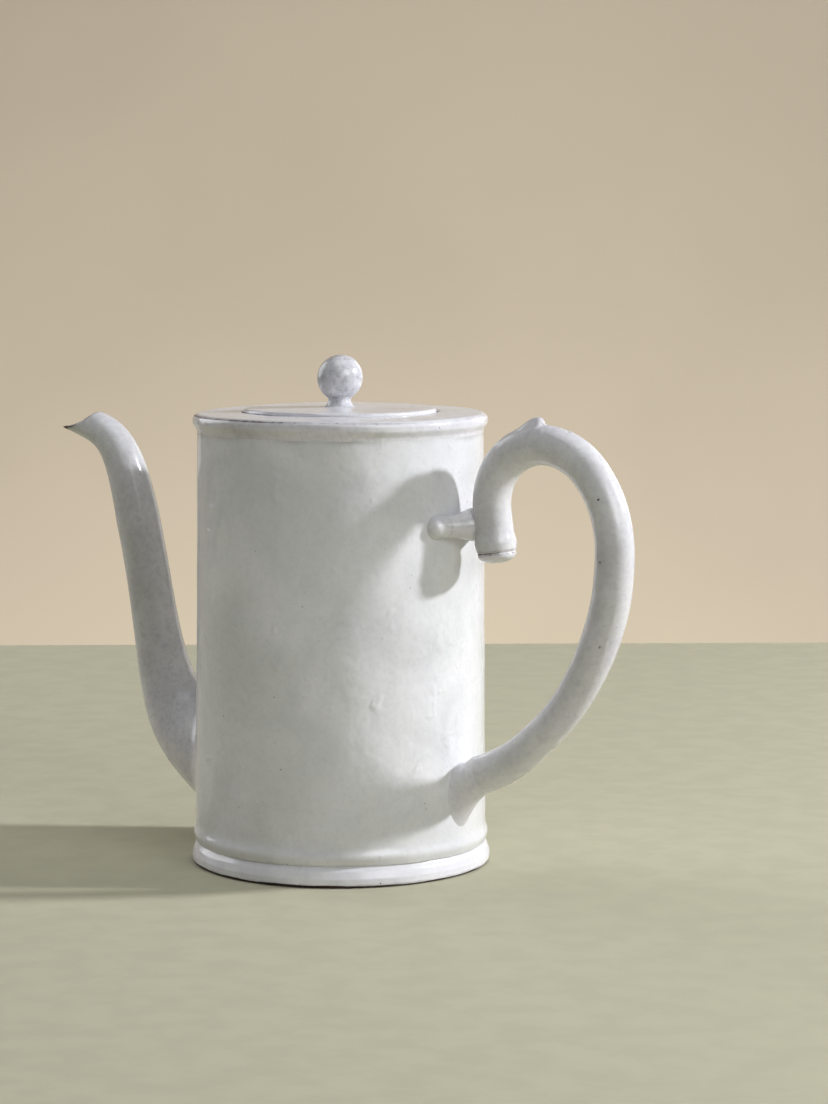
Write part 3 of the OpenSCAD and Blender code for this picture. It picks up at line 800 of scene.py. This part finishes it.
def build_handle():
    """The pulled coil, full at its crest and slimmer below the grip."""
    line, ways = handle_line()
    around = 56
    step = np.concatenate([[0], np.cumsum(np.linalg.norm(np.diff(line, axis=0), axis=1))])
    along = step / step[-1]
    slim = 0.75 * bell((along - 0.83) / 0.11) + 0.25 * bell((along - 0.42) / 0.1)
    full = 0.75 * bell((step - 3.0) / 2.6) + 0.25 * bell((step - 46) / 10)
    radius = COIL_R - 0.15 - slim + full
    rings = []
    for (middle, way, r, thinner) in zip(line, ways, radius, slim):
        out = np.array([-way[1], way[0]])
        rings.append(ring_on(middle + out * 0.7 * thinner, way, r, r * 0.985, around))
    first, way = line[0], ways[0]
    lead = [ring_on(first - way * back, way, radius[0] - cut, radius[0] - cut, around)
            for back, cut in ((0.75, 1.9), (0.72, 1.0), (0.5, 0.35), (0.22, 0.08))]
    last, way = line[-1], ways[-1]
    tail = [ring_on(last + way * on, way, radius[-1] - cut, radius[-1] - cut, around)
            for on, cut in ((1.2, 0.12), (2.6, 0.9))]
    rings = lead + rings + tail
    points = np.concatenate(rings)
    faces = tube_faces(len(rings), around)
    to_end = np.linalg.norm(points[:, [0, 2]] - SCROLL_END, axis=1)
    lip = (points[:, [0, 2]] - SCROLL_END) @ -SCROLL_WAY
    near = to_end < 14
    thin = np.where(near, bell((lip - 0.2) / 0.7), 0)
    # The bare mark in the groove before the cap, left out on the right side, is painted shade in the groove
    bare = np.where(near & (points[:, 0] < SCROLL_END[0] + 5), 0.75 * bell((lip + 0.7) / 0.45), 0)
    # The veil mark here is painted shade: the coil is greyer on its flanks than along its top and underside
    clay_piece("pulled_handle", "handle_coil", "pot", "handle_glaze", points, faces,
               bare=bare, thin=thin, veil_and_shade=0.5 * np.abs(points[:, 1]) / COIL_R)


def build_root():
    """The foot of the handle, smeared onto the wall with a long lower tail."""
    line, ways = handle_line()
    around, rows = 56, 26
    middle, way = line[-1], ways[-1]
    start = ring_on(middle - way * 1.0, way, COIL_R - 0.1, (COIL_R - 0.1) * 0.985, around)
    turn = np.arange(around) * 2 * math.pi / around
    # at the root the ring's own "up" points down the wall, so its first point meets the lower tail
    half_width, half_height, middle_z, sunk = 10.6, 15.2, 32.0, 1.2
    y = half_width * np.sin(turn)
    z = middle_z - half_height * np.cos(turn)
    x = np.sqrt(np.square(wall_r(z)) - y * y) - sunk
    end = np.stack([x, y, z], axis=1)
    lead_out = np.stack([np.full(around, way[0]), np.zeros(around), np.full(around, way[1])], axis=1) * 15
    spread_way = np.stack([-0.5 * np.ones(around), half_width * np.sin(turn) / 12,
                           -half_height * np.cos(turn) / 12], axis=1)
    lead_in = spread_way * 14
    rings = [ring_on(middle - way * 3.0, way, COIL_R - 1.2, COIL_R - 1.2, around)]
    for k in range(rows + 1):
        t = k / rows
        rings.append((2 * t ** 3 - 3 * t ** 2 + 1) * start + (t ** 3 - 2 * t ** 2 + t) * lead_out
                     + (3 * t ** 2 - 2 * t ** 3) * end + (t ** 3 - t ** 2) * lead_in)
    inside = end.copy()
    inside[:, 0] -= 2.5
    rings.append(inside)
    points = np.concatenate(rings)
    clay_piece("smeared_root", "handle_root", "pot", "handle_glaze", points, tube_faces(len(rings), around))


def build_saddle():
    """The short coil laid around the wall, its round ends pressed on like buttons, its middle smoothed
    into the hanging end."""
    around, rows = 48, 91
    coil_z, coil_way_r, coil_thick = 138.8, WALL_TOP_R + 4.0, 4.7
    reach_to_end = math.radians(14.9) * coil_way_r
    button_reach = 3.2
    turn = np.arange(around) * 2 * math.pi / around
    hanging_way = np.array([SCROLL_WAY[0], 0, SCROLL_WAY[1]])
    hanging_top = np.array([SCROLL_TOP[0], 0, SCROLL_TOP[1]])
    rings = []
    for u in np.linspace(-1, 1, rows):
        reach = abs(u) * (reach_to_end + coil_thick - 0.05)
        beyond = max(0.0, reach - reach_to_end)
        angle = math.copysign(min(reach, reach_to_end) / coil_way_r, u)
        button = -0.25 * ease((reach - reach_to_end + button_reach) / 1.4)
        crease = 0.12 * bell((reach - reach_to_end + button_reach) / 0.55)
        radius = (coil_thick - 0.2 + button - crease) * math.sqrt(max(0.0, 1 - (beyond / coil_thick) ** 2))
        sunk = 2.6 * ease((reach / reach_to_end - 0.4) / 0.6)
        ahead = np.array([math.cos(angle), math.sin(angle), 0])
        sideways = np.array([-math.sin(angle), math.cos(angle), 0]) * math.copysign(beyond, u)
        spokes = np.cos(turn)[:, None] * ahead + np.sin(turn)[:, None] * np.array([0, 0, 1])
        middle = ahead * (coil_way_r - 0.3 - sunk) + sideways + np.array([0, 0, coil_z])
        skin = middle + spokes * radius
        off_axis = skin - hanging_top
        off_axis -= (off_axis @ hanging_way)[:, None] * hanging_way
        to_hanging = np.linalg.norm(off_axis, axis=1) - COIL_R
        to_wall = np.hypot(skin[:, 0], skin[:, 1]) - wall_r(skin[:, 2])
        smear = 5.2 * np.square(np.clip(1 - to_hanging / 8.5, 0, 1))
        onto_wall = 0.9 * np.square(np.clip(1 - to_wall / 2.4, 0, 1))
        smear += onto_wall * np.abs(np.sin(turn)) * min(1.0, radius / 2)
        rings.append(skin + spokes * smear[:, None])
    points = np.concatenate(rings)
    reach = np.abs(np.arctan2(points[:, 1], points[:, 0])) * coil_way_r
    # The thin mark here is painted shade: a ring in the crease around each button and a band near each
    # button's tip against the wall
    thin = 0.8 * bell((reach - reach_to_end + button_reach) / 0.8)
    thin += 0.6 * bell(reach - reach_to_end - 3.6)
    clay_piece("wall_coil", "handle_saddle", "pot", "handle_glaze", points,
               tube_faces(len(rings), around), thin=thin)


def build_cap():
    """The pressed cap that closes the hanging end, past a fine groove."""
    around = 56
    dome = np.radians(np.linspace(-14, 86, 12))
    profile = [(-0.9, 6.0), (-0.5, 6.9)]
    profile += [(0.75 + 3.4 * math.sin(a), 0.4 + 7.3 * math.cos(a)) for a in dome]
    rings = [ring_on(SCROLL_END + SCROLL_WAY * (0.75 + on), SCROLL_WAY, r, r * 0.985, around)
             for on, r in profile]
    points = np.concatenate(rings)
    depth = (points[:, [0, 2]] - SCROLL_END) @ SCROLL_WAY
    thin = bell((depth - 1.2) / 0.6)
    # The bare mark in the groove, left out on the right side, is painted shade in the groove
    bare = np.where(points[:, 0] < SCROLL_END[0] + 4, 0.65 * bell((depth - 0.5) / 0.5), 0)
    clay_piece("end_cap", "scroll_cap", "pot", "handle_glaze", points,
               tube_faces(len(rings), around), bare=bare, thin=thin)


def build_thumb_rest():
    """A leaf of clay drawn up to a point on the crest of the handle."""
    across, rows = 21, 33
    leaf_start, leaf_end = 122.0, 88.0
    angles = np.linspace(leaf_start, leaf_end, rows)
    points = []
    for k, angle in enumerate(angles):
        share = (leaf_start - angle) / (leaf_start - leaf_end)
        rise = 0.5 * share + 2.0 * ease((share - 0.3) / 0.42) + 0.4 * bell((share - 0.8) / 0.13)
        rise *= ease((1 - share) / 0.13)
        half_width = 1.2 + 3.6 * math.sin(math.pi * min(1.0, 0.12 + 0.8 * share))
        half_width *= 0.4 + 0.6 * ease((1 - share) / 0.14)
        a = math.radians(angle)
        for s in np.linspace(-1, 1, across):
            y = s * half_width
            shell = math.sqrt(max(0.0, COIL_R ** 2 - y * y))
            lift = rise * (1 - abs(s) ** 2.2) - 0.5 * abs(s) ** 4
            out = CREST_BEND + shell + lift
            points.append((SCROLL_MIDDLE[0] + out * math.cos(a), y, SCROLL_MIDDLE[1] + out * math.sin(a)))
    top = np.array(points)
    sunk = top.copy()
    centre = np.array([SCROLL_MIDDLE[0], 0, SCROLL_MIDDLE[1]])
    inward = centre - top
    inward[:, 1] = 0
    inward /= np.linalg.norm(inward, axis=1)[:, None]
    sunk += inward * 3.0
    all_points = np.concatenate([top, sunk])
    count = rows * across
    faces = []
    for i in range(rows - 1):
        for j in range(across - 1):
            a, b, c, d = i * across + j, i * across + j + 1, (i + 1) * across + j + 1, (i + 1) * across + j
            faces += [(a, b, c, d), (count + d, count + c, count + b, count + a)]
    rim = list(range(across)) + [i * across + across - 1 for i in range(1, rows)]
    rim += [(rows - 1) * across + j for j in range(across - 2, -1, -1)]
    rim += [i * across for i in range(rows - 2, 0, -1)]
    for a, b in zip(rim, rim[1:] + rim[:1]):
        faces.append((a, count + a, count + b, b))
    thin = np.zeros(len(all_points))
    thin[:count] = 0.6 * ease((leaf_end + 14 - np.repeat(angles, across)) / 10)
    clay_piece("thumb_leaf", "thumb_rest", "pot", "handle_glaze", all_points, faces, thin=thin)


def build_lid():
    """The flat lid, slightly crowned, its glaze drawn back from the lower edge, with painted shadow along
    its front left edge.
    """
    rise = [(r, LID_TOP - 0.45 * (r / LID_R) ** 2) for r in np.arange(0, LID_R - 3, 2.0)]
    edge = rounded([(LID_R - 3, LID_TOP - 0.42, 0), (LID_R - 0.1, LID_TOP - 0.55, 1.5),
                    (LID_R, LID_LOW, 0.5), (LID_R - 3, LID_LOW, 0)], 8)
    under = [(r, LID_LOW) for r in np.arange(LID_R - 5, 0, -3.0)] + [(0.0, LID_LOW)]
    section = np.concatenate([rise, finer(edge, 0.6)[:-5], under])
    points, faces = turned(section, 224, closed=False)
    r, z, turn = polar(points)
    # Towards the front left the bare band reaches higher and the edge darkens more: painted shadow of the
    # gap between lid and shoulder, over the bare lower edge
    front_left_weight = 0.5 + 0.5 * np.cos(turn + 1.9)
    drawn = LID_LOW + 0.6 + (RIM_TOP - 0.1 - LID_LOW) * front_left_weight
    bare = np.where(z < LID_LOW + 0.01, 1.0, np.where(r > LID_R - 1.2, ease((drawn - z) / 1.1), 0))
    thin = (0.45 + 0.45 * front_left_weight) * crest(points, [(LID_R - 0.6, LID_TOP - 1.0)], 0.8)
    clay_piece("flat_lid", "lid_disc", "lid", "lid_glaze", points, faces,
               bare=bare, thin=thin)


def build_flange():
    """The ring under the lid that keeps it in the mouth."""
    section = finer(rounded([
        (FLANGE_R - 4, FLANGE_LOW, 1.2), (FLANGE_R - 4.4, LID_LOW, 0), (FLANGE_R, LID_LOW, 0),
        (FLANGE_R - 0.2, FLANGE_LOW, 1.2)], 6), 1.5)
    points, faces = turned(section, 160)
    clay_piece("lid_collar", "lid_flange", "lid", "bare_clay", points, faces)


def knob_r(z):
    """Radius of the knob at a height: a ball that runs softly into its waisted stem."""
    ball_middle = KNOB_TOP - BALL_R
    ball = np.sqrt(np.maximum(0, BALL_R ** 2 - np.square(z - ball_middle)))
    stem = 4.15 + 3.0 * np.exp(-(z - LID_TOP + 0.4) / 1.2)
    soft = 0.9 * ease((ball_middle - z) / 6)
    joined = (ball + stem + np.sqrt(np.square(ball - stem) + soft ** 2)) / 2
    return np.where(z < ball_middle, joined, ball)


def build_knob():
    """The thrown ball knob, a little uneven, and its waisted stem."""
    turn = np.radians(np.linspace(90, -50, 46))
    height = KNOB_TOP - BALL_R + (BALL_R - 0.1) * np.sin(turn)
    radius = knob_r(height)
    radius[0] = 0
    neck = np.linspace(height[-1], KNOB_LOW, 5)[1:]
    section = np.stack([np.append(radius, knob_r(neck)), np.append(height, neck)], axis=1)
    section = np.concatenate([section, [(4.0, KNOB_LOW - 0.3), (0.0, KNOB_LOW - 0.3)]])
    points, faces = turned(section, 96, closed=False)
    _, z, turn = polar(points)
    thin = 0.9 * bell((z - KNOB_TOP) / 1.3) + 0.7 * bell((z - KNOB_LOW) / 2.0)
    bare = 0.44 * bell(z - KNOB_TOP) + 0.45 * bell((z - KNOB_LOW) / 1.5)
    # The veil mark greys the knob all round and, as painted shade, much more on the side away from the key
    # light
    veil_and_shade = 0.32 + 0.42 * np.cos(turn - 3.6)
    clay_piece("ball_knob", "knob", "lid", "knob_glaze", points, faces,
               bare=bare, thin=thin, veil_and_shade=veil_and_shade)
    height = np.linspace(LID_TOP - 0.8, KNOB_LOW, 20)
    section = np.stack([knob_r(height), height], axis=1)
    section = np.concatenate([[(0.0, height[0])], section, [(4.0, KNOB_LOW + 0.3), (0.0, KNOB_LOW + 0.3)]])
    points, faces = turned(section, 96, closed=False)
    z = points[:, 2]
    clay_piece("knob_waist", "knob_stem", "lid", "knob_glaze", points, faces,
               bare=0.45 * bell((z - KNOB_LOW) / 1.5), thin=0.7 * bell((z - KNOB_LOW) / 2.0))


# Studio

def studio_finish(name, color, grain):
    """Plain matte finish of the floor or the backdrop, with a faint grain."""
    finish, tree, shader = new_finish(name)
    soft = spread(tree, noise(tree, place(tree), grain, 4.0), 0.35, 0.65)
    darker = tuple(0.94 * c for c in color[:3]) + (1,)
    tree.links.new(blend(tree, soft, color, darker), shader.inputs["Base Color"])
    shader.inputs["Roughness"].default_value = 0.9
    return finish


def build_studio():
    """Pale floor and backdrop, a small key light from the handle's side and large soft fills."""
    toward = np.array([0.5736, -0.8192])
    right = np.array([0.8192, 0.5736])

    def spot(along, across, z):
        p = toward * along + right * across
        return (p[0], p[1], z)

    wide, front, floor_end, back, low, high = 4.0, 2.2, -0.62, -2.4, -1.5, 3.5
    floor = bpy.data.meshes.new("studio_floor")
    floor.from_pydata([spot(front, -wide, 0), spot(front, wide, 0), spot(floor_end, wide, 0),
                       spot(floor_end, -wide, 0)], [], [(0, 1, 2, 3)])
    floor.materials.append(studio_finish("pale_sage_floor", (0.5, 0.48, 0.34, 1), 60.0))
    wall = bpy.data.meshes.new("studio_backdrop")
    wall.from_pydata([spot(back, -wide, low), spot(back, wide, low), spot(back, wide, high),
                      spot(back, -wide, high)], [], [(0, 1, 2, 3)])
    wall.materials.append(studio_finish("pale_sand_backdrop", (0.6, 0.51, 0.38, 1), 2.0))
    for mesh in (floor, wall):
        placed(mesh.name, mesh)

    def area_light(name, place_at, target, size, power, color):
        data = bpy.data.lights.new(name, "AREA")
        data.shape = "DISK"
        data.size = size
        data.energy = power
        data.color = color
        lamp = placed(name, data)
        lamp.location = place_at
        lamp.rotation_euler = (Vector(target) - Vector(place_at)).to_track_quat("-Z", "Y").to_euler()

    pot = (0, 0, 0.09)

    def from_pot(azimuth, height, distance):
        a, h = math.radians(azimuth), math.radians(height)
        return (distance * math.cos(a) * math.cos(h), distance * math.sin(a) * math.cos(h),
                pot[2] + distance * math.sin(h))

    area_light("key", from_pot(31.5, 27.3, 1.9), pot, 0.13, 35.0, (0.93, 0.937, 1.0))
    area_light("window_fill", from_pot(-22, 25, 2.0), pot, 1.0, 9.2, (0.935, 0.95, 1.0))
    area_light("rim_fill", from_pot(88, 14, 1.5), pot, 0.8, 1.5, (1.0, 1.0, 1.0))
    area_light("left_fill", (-1.5, 0.05, 0.7), pot, 1.2, 8.0, (0.95, 0.96, 1.0))
    area_light("top_fill", (0.1, -0.2, 2.2), pot, 1.6, 7.5, (0.98, 0.98, 1.0))
    area_light("backdrop_wash", spot(-1.0, 0.1, -1.35), spot(back, 0.1, 0.5), 1.2, 34.0, (1.0, 0.985, 0.96))
    world = bpy.data.worlds.new("studio")
    world.use_nodes = True
    sky = world.node_tree.nodes["Background"]
    sky.inputs["Color"].default_value = (0.93, 0.95, 1.0, 1)
    sky.inputs["Strength"].default_value = 0.175
    bpy.context.scene.world = world


def build_camera():
    """Long-lens camera a little above the rim, between the pot's side and the handle."""
    data = bpy.data.cameras.new("camera")
    data.lens = 106.6
    data.sensor_width = 36
    camera = placed("camera", data)
    camera.location = (0.7456, -1.0649, 0.2693)
    camera.rotation_euler = (math.radians(83.63), 0, math.radians(33.70))
    bpy.context.scene.camera = camera


build_camera()
build_studio()
build_wall()
build_foot()
build_base()
build_shoulder()
build_spout()
build_handle()
build_root()
build_saddle()
build_cap()
build_thumb_rest()
build_lid()
build_flange()
build_knob()

bpy.context.scene.view_settings.view_transform = "Standard"
